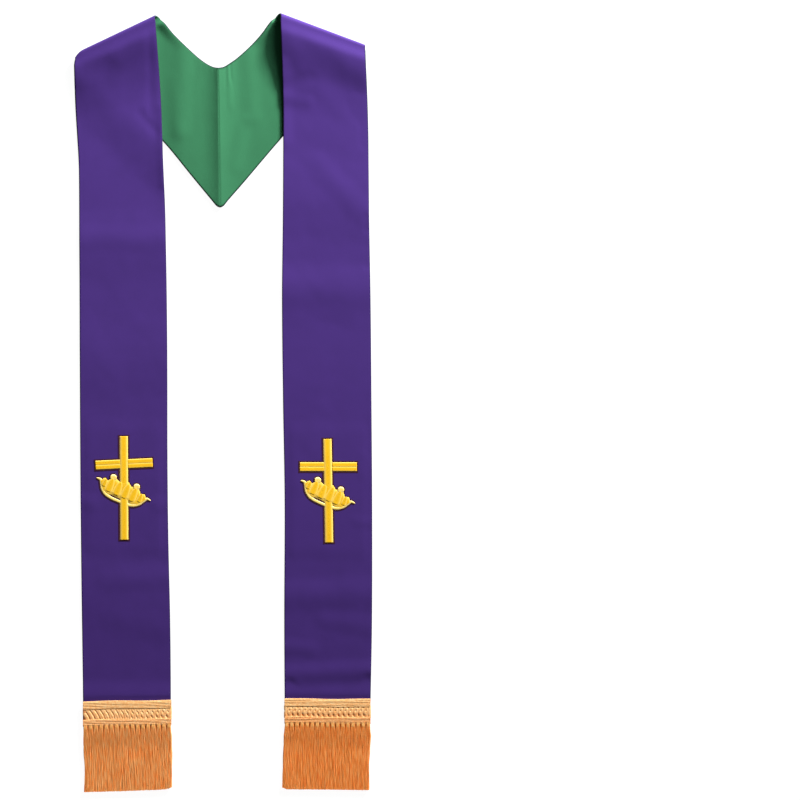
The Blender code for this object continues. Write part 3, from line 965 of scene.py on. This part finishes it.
def strand(side, index, tufts):
    """One yarn of fringe: out of its tuft, then down among its neighbours to its cut end."""
    low, high = trim_edges(side)
    pitch = (high - low) / tufts
    layer = (index * 7) % LAYERS
    order = (index + 0.5) / STRANDS
    wide_x = mix(low + FRINGE_INSET, high - FRINGE_INSET, order)
    tuft_x = low + pitch * (math.floor((wide_x - low) / pitch) + 0.5)
    seed = index * 0.618
    root_x = tuft_x + (wide_x - tuft_x) * GATHERED
    root_y = trim_top(side, wide_x) - FRINGE_DEPTH
    uneven = noise.noise(Vector((seed * 5.1, 3.0, 0.0))) + 0.9
    end_y = end_of_fringe(side, order) + END_UNEVEN * uneven + LAYER_STEP * (LAYERS - 1 - layer)
    flare_low, flare_high = side["fringe_flare"]
    flare = flare_high * order**3 - flare_low * (1.0 - order) ** 3

    def path(share):
        y = mix(root_y, end_y, share)
        opened = smoothstep((root_y - OPEN_START - y) / OPEN_RUN)
        fallen = smoothstep((root_y - FALL_START - y) / FALL_RUN)
        x = mix(root_x, wide_x, opened) + flare * smoothstep(share * 1.3)
        x += opened * LOCK_WANDER * noise.noise(Vector((wide_x / 16.0, y / 46.0, 5.0)))
        x += opened * YARN_WANDER * noise.noise(Vector((seed * 3.0, y / 30.0, layer * 3.0)))
        rest = LOWEST_YARN + layer * LAYER_RISE + 0.5 * noise.noise(Vector((seed * 2.0, y / 24.0, 9.0)))
        z = mix(ROOT_Z + layer * LAYER_RISE, max(YARN_FLOOR, rest), fallen)
        return Vector((x, y, z))

    return path


for side in SIDES:
    low, high = trim_edges(side)
    tufts = round((high - low) / TUFT_PITCH)
    fringe_gold = rayon(
        f"{side['name']}_fringe_gold",
        shades=side["fringe_shades"],
        streaks=(640.0, 70.0, 420.0),
        roughness=0.5,
        sheen=0.35,
    )
    hanging = laid_yarns(
        [strand(side, index, tufts) for index in range(STRANDS)],
        steps=STRAND_STEPS,
        sides=4,
        half_width=lambda index, share: STRAND_WIDTH / 2 * (1.0 + 0.15 * math.sin(share * 40.0 + index)),
    )
    fringe = finished(hanging, f"{side['name']}_fringe_yarns", fringe_gold)
    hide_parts(f"{side['name']}_fringe")

    # The tape takes the ground's dark colour: painted shade for the gaps between the tufts.
    tape = bmesh.new()
    bmesh.ops.create_grid(tape, x_segments=40, y_segments=4, size=0.5)
    made = bmesh.ops.extrude_face_region(tape, geom=tape.faces[:], use_keep_orig=True)
    raised = {item for item in made["geom"] if isinstance(item, bmesh.types.BMVert)}
    for corner in tape.verts:
        x = mix(low + TAPE_INSET, high - TAPE_INSET, corner.co.x + 0.5)
        y = trim_top(side, x) - TAPE_DROP - TAPE_DEPTH * (0.5 - corner.co.y)
        corner.co = Vector((x, y, TAPE_Z[corner in raised]))
    bmesh.ops.recalc_face_normals(tape, faces=tape.faces)
    held = finished(tape, f"{side['name']}_fringe_tape", shaded_ground_gold)


# Crosses and crowns
# Gold satin stitch is worked through each purple front: a plain Latin cross, and a coronet of
# arched petals hung askew on it, with two pearls and a rim whose ends flare. A low dark band of
# satin round the gold is painted shadow, for the shade of the cloth puckered round the embroidery.

BAR_WIDTH = 13.4
BAR_LENGTH = 154.0
ARM_LENGTH = 85.0
ARM_WIDTH = 13.9
ARM_START = 5.5
BAR_DROP = 77.5
THREAD_GROOVE = 0.09
ROW_LAP = 0.28
OUTLINE = 1.9
CROWN_SHIFT = -0.6
CROWN_DROP = 37.3
CROWN_TILT = -23.0
CROWN_REACH = 36.0
CROWN_TOP = [
    # distance from the middle, height of the coronet's upper edge
    (0.0, 12.6),
    (3.5, 12.2),
    (6.5, 9.8),
    (9.5, 7.8),
    (12.5, 8.8),
    (15.0, 9.8),
    (20.5, 9.6),
    (23.5, 6.4),
    (26.2, 2.9),
    (27.8, 2.2),
    (29.6, 4.2),
    (31.6, 4.9),
    (33.6, 3.3),
    (35.0, 0.6),
    (36.0, -1.4),
]
CROWN_FOOT = [(0.0, -15.2), (14.0, -14.9), (19.0, -17.6), (26.0, -15.4), (32.0, -9.6), (36.0, -2.8)]
CROWN_RIM = [
    # distance from the middle, height of the rim's middle line
    (0.0, -19.6),
    (12.0, -19.3),
    (22.0, -17.2),
    (29.5, -11.8),
    (33.6, -5.2),
    (37.2, -0.2),
    (43.8, 0.0),
]
CROWN_PEARLS = [(-20.6, 9.9), (16.6, 10.4)]
PEARL_RADIUS = 4.8
CROWN_PETALS = [
    # place along the coronet, lower end, upper end, half width
    (-29.4, -7.6, 4.2, 3.6),
    (-20.4, -12.4, 8.4, 6.2),
    (-7.6, -12.8, 8.2, 6.4),
    (4.8, -12.8, 9.6, 6.2),
    (16.8, -12.6, 8.8, 6.2),
    (28.0, -9.2, 4.2, 4.2),
]


def turned(points, degrees, middle):
    """Points turned anticlockwise about their origin, then moved to the middle."""
    cos, sin = math.cos(math.radians(degrees)), math.sin(math.radians(degrees))
    return [Vector((middle[0] + x * cos - y * sin, middle[1] + x * sin + y * cos)) for x, y in points]


def read_off(table, x):
    """The value that a table of points gives at x, smoothed between its points."""
    for (x0, y0), (x1, y1) in zip(table, table[1:]):
        if x <= x1:
            return mix(y0, y1, smoothstep((x - x0) / (x1 - x0)))
    return table[-1][1]


def on_front(side, facing):
    """Height of a front's face at a place: of the purple face, or of the green one under it."""
    fold = shoulder(side)
    return lambda place: front_height(side, fold, place, 0.5) + facing * HALF_STACK


def satin(
    builder, spine, half_width, surface, facing, rise, stitches, columns=8, lay=None, foot=0.02, pale=1.0
):
    """A band of satin stitch: a low dome of threads that lie across its spine.

    The threads lie square to the spine, or along lay. The dome's edges stand foot high, and pale
    is how far their colour goes from the thread's heart to its edge, which paints the light on the turned
    edge: a highlight where the edge colour is paler, a shade where it is darker.
    """
    layers = builder.loops.layers.uv
    thread = layers.get("thread") or layers.new("thread")
    rows = 2 * stitches
    made = bmesh.ops.create_grid(builder, x_segments=columns, y_segments=rows, size=0.5)
    flat = {}
    run = 0.0
    runs = [0.0]
    for row in range(rows):
        run += (spine((row + 1) / rows) - spine(row / rows)).length
        runs.append(run)
    for corner in made["verts"]:
        across = 2.0 * corner.co.x
        row = round((corner.co.y + 0.5) * rows)
        share = row / rows
        flat[corner] = (across, runs[row])
        if lay:
            over = lay
        else:
            ahead = (spine(min(1.0, share + 0.003)) - spine(max(0.0, share - 0.003))).normalized()
            over = Vector((ahead.y, -ahead.x))
        place = spine(share) + over * (across * half_width(share))
        dome = max(0.0, 1.0 - abs(across) ** 5.0) ** 0.5
        end = min(1.0, min(row, rows - row) / 2.0) ** 0.5
        groove = THREAD_GROOVE * (row % 2) * dome * min(1.0, rise)
        height = max(foot, (rise * dome - groove) * end)
        corner.co = Vector((place.x, place.y, surface(place) + facing * height))
    faces = list({face for corner in made["verts"] for face in corner.link_faces})
    for face in faces:
        face.normal_update()
        for loop in face.loops:
            across, along = flat[loop.vert]
            loop[thread].uv = (0.5 + 0.5 * pale * across, along * MM)
    if sum(face.normal.z for face in faces) * facing < 0:
        bmesh.ops.reverse_faces(builder, faces=faces)


def straight(start, end):
    """A straight spine between two places."""
    return lambda share: mix(Vector(start), Vector(end), share)


def disc(middle, radius):
    """The spine and half width of a round spot of satin stitch."""
    spine = straight((middle.x - radius, middle.y), (middle.x + radius, middle.y))
    return spine, lambda share: 0.06 + radius * math.sqrt(max(0.0, 1.0 - (2.0 * share - 1.0) ** 2))


def embroidery(name, heart, edge, roughness, lustre):
    """Rayon embroidery thread: its heart's colour along the middle, its edge's where it turns down. The edge
    colour is painted light: a painted highlight where it is paler than the heart, a painted shade where it is
    darker.
    """
    material = bpy.data.materials.new(name)
    material.use_nodes = True
    nodes, links = material.node_tree.nodes, material.node_tree.links
    shader = nodes["Principled BSDF"]
    shader.inputs["Roughness"].default_value = roughness
    shader.inputs["Specular IOR Level"].default_value = lustre
    place = nodes.new("ShaderNodeUVMap")
    place.uv_map = "thread"
    split = nodes.new("ShaderNodeSeparateXYZ")
    links.new(place.outputs["UV"], split.inputs["Vector"])
    # Painted light: across the thread, the colour runs from the edge colour at both sides to the heart colour
    # in the middle.
    shade = nodes.new("ShaderNodeValToRGB")
    shade.color_ramp.elements[0].position = 0.0
    shade.color_ramp.elements[0].color = edge
    shade.color_ramp.elements[1].position = 1.0
    shade.color_ramp.elements[1].color = edge
    for position, share in ((0.13, 0.25), (0.3, 0.9), (0.5, 1.0), (0.7, 0.9), (0.87, 0.25)):
        blend = [mix(low, high, share) for low, high in zip(edge, heart)]
        shade.color_ramp.elements.new(position).color = blend
    links.new(split.outputs["X"], shade.inputs["Fac"])
    stretch = nodes.new("ShaderNodeMapping")
    stretch.inputs["Scale"].default_value = (3.0, 1400.0, 1.0)
    streak = nodes.new("ShaderNodeTexNoise")
    streak.inputs["Scale"].default_value = 1.0
    streak.inputs["Detail"].default_value = 2.0
    links.new(place.outputs["UV"], stretch.inputs["Vector"])
    links.new(stretch.outputs["Vector"], streak.inputs["Vector"])
    uneven = nodes.new("ShaderNodeMapRange")
    uneven.inputs["To Min"].default_value = 0.8
    uneven.inputs["To Max"].default_value = 1.12
    links.new(streak.outputs["Fac"], uneven.inputs["Value"])
    tone = nodes.new("ShaderNodeHueSaturation")
    links.new(uneven.outputs["Result"], tone.inputs["Value"])
    links.new(shade.outputs["Color"], tone.inputs["Color"])
    links.new(tone.outputs["Color"], shader.inputs["Base Color"])
    bump = nodes.new("ShaderNodeBump")
    bump.inputs["Strength"].default_value = 0.3
    bump.inputs["Distance"].default_value = 0.0002
    links.new(streak.outputs["Fac"], bump.inputs["Height"])
    links.new(bump.outputs["Normal"], shader.inputs["Normal"])
    return material


# Its paler edge colour is a painted highlight where the satin turns down.
gold_thread = embroidery(
    "gold_thread",
    heart=(0.87, 0.49, 0.005, 1.0),
    edge=(0.98, 0.71, 0.17, 1.0),
    roughness=0.55,
    lustre=0.2,
)
# A paler copy of the gold thread for the coronet's rim and pearls. On the rim and its flared ends the
# paleness is painted highlight; on the pearls it is their pale thread.
pale_and_highlight_thread = embroidery(
    "pale_and_highlight_thread",
    heart=(0.95, 0.68, 0.14, 1.0),
    edge=(1.0, 0.80, 0.40, 1.0),
    roughness=0.5,
    lustre=0.4,
)
# Near-black colour for the painted shadow round the gold.
painted_shadow_thread = embroidery(
    "painted_shadow_thread",
    heart=(0.040, 0.007, 0.018, 1.0),
    edge=(0.046, 0.008, 0.022, 1.0),
    roughness=0.7,
    lustre=0.2,
)
for side in SIDES:
    emblem = side["emblem"]
    surface = on_front(side, 1)
    lean = turned([(0.0, 1.0)], emblem["lean"], (0.0, 0.0))[0]
    middle = Vector((emblem["x"], emblem["top"] - BAR_DROP))
    level = turned([(1.0, 0.0)], emblem["arm_tilt"], (0.0, 0.0))[0]
    arm_middle = Vector((emblem["x"], emblem["arm_y"]))
    crown_middle = (emblem["x"] + CROWN_SHIFT, emblem["arm_y"] - CROWN_DROP)
    crown_up = turned([(0.0, 1.0)], CROWN_TILT, (0.0, 0.0))[0]

    def crown_spine(share):
        x = mix(-CROWN_REACH, CROWN_REACH, share)
        y = (read_off(CROWN_TOP, abs(x)) + read_off(CROWN_FOOT, abs(x))) / 2
        return turned([(x, y)], CROWN_TILT, crown_middle)[0]

    def crown_half(share):
        x = abs(mix(-CROWN_REACH, CROWN_REACH, share))
        return (read_off(CROWN_TOP, x) - read_off(CROWN_FOOT, x)) / 2

    rim_points = [(-x, y) for x, y in CROWN_RIM[:0:-1]] + CROWN_RIM
    rim_spine = curve_through(turned(rim_points, CROWN_TILT, crown_middle))

    def rim_half(share):
        return 0.25 + 1.9 * min(1.0, min(share, 1.0 - share) * 14.0) ** 0.6

    cross = bmesh.new()
    half = lean * (BAR_LENGTH / 2)
    upright = straight(middle - half, middle + half)
    satin(cross, upright, lambda s: BAR_WIDTH / 2, surface, 1, rise=0.8, stitches=248)
    for way in (-1, 1):
        for row in (-1, 1):
            beside = level.orthogonal() * (row * (ARM_WIDTH / 4 - ROW_LAP))
            start = arm_middle + level * (way * ARM_START) + beside
            end = arm_middle + level * (way * ARM_LENGTH / 2) + beside
            arm = straight(start, end)
            half_row = ARM_WIDTH / 4 + ROW_LAP
            satin(
                cross, arm, lambda s: half_row, surface, 1, rise=0.72, stitches=60, columns=12, pale=0.84
            )
    piece = finished(cross, f"{side['name']}_cross", gold_thread)
    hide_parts(f"{side['name']}_emblem")
    emblem_pieces = [piece]

    crown = bmesh.new()
    domed = {"rise": 0.85, "stitches": 120, "columns": 16, "foot": 0.3, "pale": 0.72}
    satin(crown, crown_spine, crown_half, surface, 1, lay=crown_up, **domed)
    for x, low_end, high_end, petal_half in CROWN_PETALS:
        ends = turned([(x, low_end), (x, high_end)], CROWN_TILT, crown_middle)

        def petal(share):
            return petal_half * min(1.0, 0.3 + share * 6.0) ** 0.5 * max(0.02, 1.0 - share**3) ** 0.6

        satin(crown, straight(*ends), petal, surface, 1, rise=1.08, stitches=26, foot=0.8, pale=0.8)
    emblem_pieces.append(finished(crown, f"{side['name']}_crown", gold_thread))

    trimming = bmesh.new()
    satin(trimming, rim_spine, rim_half, surface, 1, rise=0.7, stitches=170, columns=6, foot=0.3)
    pearls = turned(CROWN_PEARLS, CROWN_TILT, crown_middle)
    for pearl in pearls:
        spine, half_width = disc(pearl, PEARL_RADIUS)
        satin(trimming, spine, half_width, surface, 1, rise=1.0, stitches=14, foot=0.34)
    emblem_pieces.append(finished(trimming, f"{side['name']}_crown_rim", pale_and_highlight_thread))

    # Painted shadow: a low dark band, OUTLINE wider than the gold, round the cross, coronet, rim and pearls.
    shadow_line = bmesh.new()
    half = lean * (BAR_LENGTH / 2 + OUTLINE)
    upright = straight(middle - half, middle + half)
    half_bar, half_arm = BAR_WIDTH / 2 + OUTLINE, ARM_WIDTH / 2 + OUTLINE
    satin(shadow_line, upright, lambda s: half_bar, surface, 1, rise=0.3, stitches=60, columns=6, foot=0.22)
    half = level * (ARM_LENGTH / 2 + OUTLINE)
    beam = straight(arm_middle - half, arm_middle + half)
    satin(shadow_line, beam, lambda s: half_arm, surface, 1, rise=0.28, stitches=40, columns=6, foot=0.2)

    def round_crown(share):
        return crown_half(share) + OUTLINE

    def round_rim(share):
        return rim_half(share) + OUTLINE

    satin(shadow_line, crown_spine, round_crown, surface, 1, rise=0.26, stitches=60, lay=crown_up, foot=0.19)
    satin(shadow_line, rim_spine, round_rim, surface, 1, rise=0.24, stitches=90, columns=6, foot=0.18)
    for pearl in pearls:
        spine, half_width = disc(pearl, PEARL_RADIUS + OUTLINE)
        satin(shadow_line, spine, half_width, surface, 1, rise=0.22, stitches=10, foot=0.17)
    emblem_pieces.append(finished(shadow_line, f"{side['name']}_cross_shadow_line", painted_shadow_thread))
    for piece in emblem_pieces:
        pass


# Doves and rings
# On the green face under each cross: a white dove coming down, outlined in black, in front of
# three linked gold rings. All of it is satin stitch.

DOVE_Y = -148.0
DOVE_STITCH = 0.8
RINGS = [(-23.5, 11.0), (23.5, 11.0), (0.0, -33.5)]
RING_RADIUS = 25.4
RING_HALF = 2.0
DOVE_OUTLINE = 0.75
WING_LIFT = 0.04
FEATHERS = [
    # from root to tip, with half widths at the root, the middle and the tip
    ([(2.8, 27.0), (3.5, 42.0), (6.0, 57.0)], (2.3, 2.8, 3.2)),
    ([(7.8, 27.0), (11.0, 42.0), (19.4, 58.0)], (2.1, 2.8, 2.7)),
    ([(27.6, -18.0), (28.2, 6.0), (26.8, 31.0)], (2.6, 2.6, 1.8)),
    ([(22.2, -19.5), (22.6, 0.0), (20.8, 21.0)], (2.6, 2.5, 1.7)),
    ([(16.8, -19.5), (17.2, -3.0), (15.2, 9.5)], (2.5, 2.3, 1.6)),
]
WING = (
    [(10.0, -18.5), (24.0, -22.5), (31.6, -16.0), (34.2, 0.0), (34.8, 20.0), (38.0, 35.0), (46.0, 47.5)],
    (2.6, 3.5, 1.5),
)
BODY = [
    # distance down from the root of the tail, half width
    (0.0, 8.0),
    (3.0, 9.8),
    (9.0, 9.8),
    (19.0, 10.0),
    (29.0, 11.6),
    (39.0, 14.2),
    (47.0, 15.0),
    (53.0, 12.8),
    (57.0, 9.0),
    (60.0, 8.0),
    (64.0, 9.2),
    (68.0, 8.2),
    (72.0, 4.4),
    (76.5, 0.4),
]
BODY_TOP = 33.0

# Its darker edge colour is painted shade where the satin turns down.
white_thread = embroidery(
    "white_thread",
    heart=(0.78, 0.75, 0.80, 1.0),
    edge=(0.70, 0.66, 0.74, 1.0),
    roughness=0.5,
    lustre=0.35,
)
black_thread = embroidery(
    "black_thread",
    heart=(0.012, 0.012, 0.014, 1.0),
    edge=(0.012, 0.012, 0.014, 1.0),
    roughness=0.6,
    lustre=0.25,
)
for side in SIDES:
    under = on_front(side, -1)
    centre = Vector((side["emblem"]["x"], DOVE_Y))
    body_edge = curve_through(BODY)

    def body_spine(share):
        return centre + Vector((0.0, BODY_TOP - share * BODY[-1][0]))

    def body_half(share):
        down = share * BODY[-1][0]
        return body_edge(share_where(lambda s: body_edge(s).x >= down)).y

    rings = bmesh.new()
    for x, y in RINGS:
        middle = centre + Vector((x, y))

        def ring(share):
            angle = 2 * math.pi * share
            return middle + Vector((math.cos(angle), math.sin(angle))) * RING_RADIUS

        satin(rings, ring, lambda s: RING_HALF, under, -1, rise=0.12, stitches=130, columns=6, foot=0.06)
    finished(rings, f"{side['name']}_rings", gold_thread)

    dove = bmesh.new()
    lines = bmesh.new()
    for points, (root, waist, tip) in FEATHERS + [WING]:
        over = WING_LIFT if points is WING[0] else 0.0
        for way in (-1, 1):
            feather = curve_through([centre + Vector((way * x, y)) for x, y in points])

            def tapered(share):
                width = mix(mix(root, waist, min(1.0, 2 * share)), tip, max(0.0, 2 * share - 1.0))
                return width * min(1.0, (1.0 - share) * 12.0 + 0.15) ** 0.5

            def round_feather(share):
                return tapered(share) + DOVE_OUTLINE

            length = sum((Vector(b) - Vector(a)).length for a, b in zip(points, points[1:]))
            laid = {"stitches": round(length / DOVE_STITCH), "columns": 6}
            satin(dove, feather, tapered, under, -1, rise=0.3 + over, foot=0.24 + over, **laid)
            satin(lines, feather, round_feather, under, -1, rise=0.16 + over, foot=0.14 + over, **laid)

    def round_body(share):
        return body_half(share) + DOVE_OUTLINE

    laid = {"stitches": round(BODY[-1][0] / DOVE_STITCH), "columns": 10, "lay": Vector((1.0, 0.0))}
    satin(dove, body_spine, body_half, under, -1, rise=0.4, foot=0.34, **laid)
    satin(lines, body_spine, round_body, under, -1, rise=0.3, foot=0.29, **laid)
    finished(dove, f"{side['name']}_dove", white_thread)
    finished(lines, f"{side['name']}_dove_outline", black_thread)


# Table top
# The stole lies on a plain white top that runs past the picture on every side. Each face of cloth
# was cut from a flat band, and rests on the top folded at the shoulder.

top = bmesh.new()
bmesh.ops.create_grid(top, x_segments=1, y_segments=1, size=4.0)
bmesh.ops.translate(top, vec=(0.0, 0.0, -0.0002), verts=top.verts)
top_mesh = bpy.data.meshes.new("table_top")
top.to_mesh(top_mesh)
top.free()
table_top = bpy.data.objects.new("table_top", top_mesh)
bpy.context.scene.collection.objects.link(table_top)
white = bpy.data.materials.new("white_top")
white.use_nodes = True
white.node_tree.nodes["Principled BSDF"].inputs["Base Color"].default_value = (0.14, 0.14, 0.14, 1.0)
white.node_tree.nodes["Principled BSDF"].inputs["Roughness"].default_value = 0.9
white.node_tree.nodes["Principled BSDF"].inputs["Emission Color"].default_value = (1.0, 1.0, 1.0, 1.0)
white.node_tree.nodes["Principled BSDF"].inputs["Emission Strength"].default_value = 0.96
top_mesh.materials.append(white)


# Light
# Faint light from all round, and two lamps beyond the stole's upper right. The strong one is low
# and far and turned aside, so that its light fades towards the hems. The nearer one is weak.

sky = bpy.data.worlds.new("soft_light")
bpy.context.scene.world = sky
sky.use_nodes = True
sky.node_tree.nodes["Background"].inputs["Color"].default_value = (1.0, 1.0, 1.0, 1.0)
sky.node_tree.nodes["Background"].inputs["Strength"].default_value = 0.08


def lamp(name, place, aim, size, watts, colour):
    """A square lamp that faces its aim."""
    light = bpy.data.lights.new(name, "AREA")
    light.size = size
    light.energy = watts
    light.color = colour
    holder = bpy.data.objects.new(name, light)
    holder.location = place
    holder.rotation_euler = (Vector(aim) - Vector(place)).to_track_quat("-Z", "Y").to_euler()
    bpy.context.scene.collection.objects.link(holder)


lamp(
    "key_lamp",
    place=(2.34, 3.36, 1.14),
    aim=(-0.7, 3.75, 0.0),
    size=0.7,
    watts=1240.0,
    colour=(1.0, 0.99, 0.97),
)
lamp(
    "soft_lamp",
    place=(1.1, 1.8, 0.95),
    aim=(0.0, 0.0, 0.0),
    size=0.8,
    watts=28.0,
    colour=(1.0, 1.0, 1.0),
)
bpy.context.scene.view_settings.view_transform = "Standard"


# Camera
# It looks straight down through a long lens from six metres up, at the photo's scale, and has
# the stole left of the middle of its view.

PHOTO_PIXELS = 800
PIXEL = 1.486
VIEW_MIDDLE = (262.65, 4.46)
EYE_HEIGHT = 6000.0
lens = bpy.data.cameras.new("camera")
lens.lens = lens.sensor_width * EYE_HEIGHT / (PHOTO_PIXELS * PIXEL)
lens.clip_end = 50.0
camera = bpy.data.objects.new("camera", lens)
camera.location = Vector((*VIEW_MIDDLE, EYE_HEIGHT)) * MM
bpy.context.scene.collection.objects.link(camera)
bpy.context.scene.camera = camera
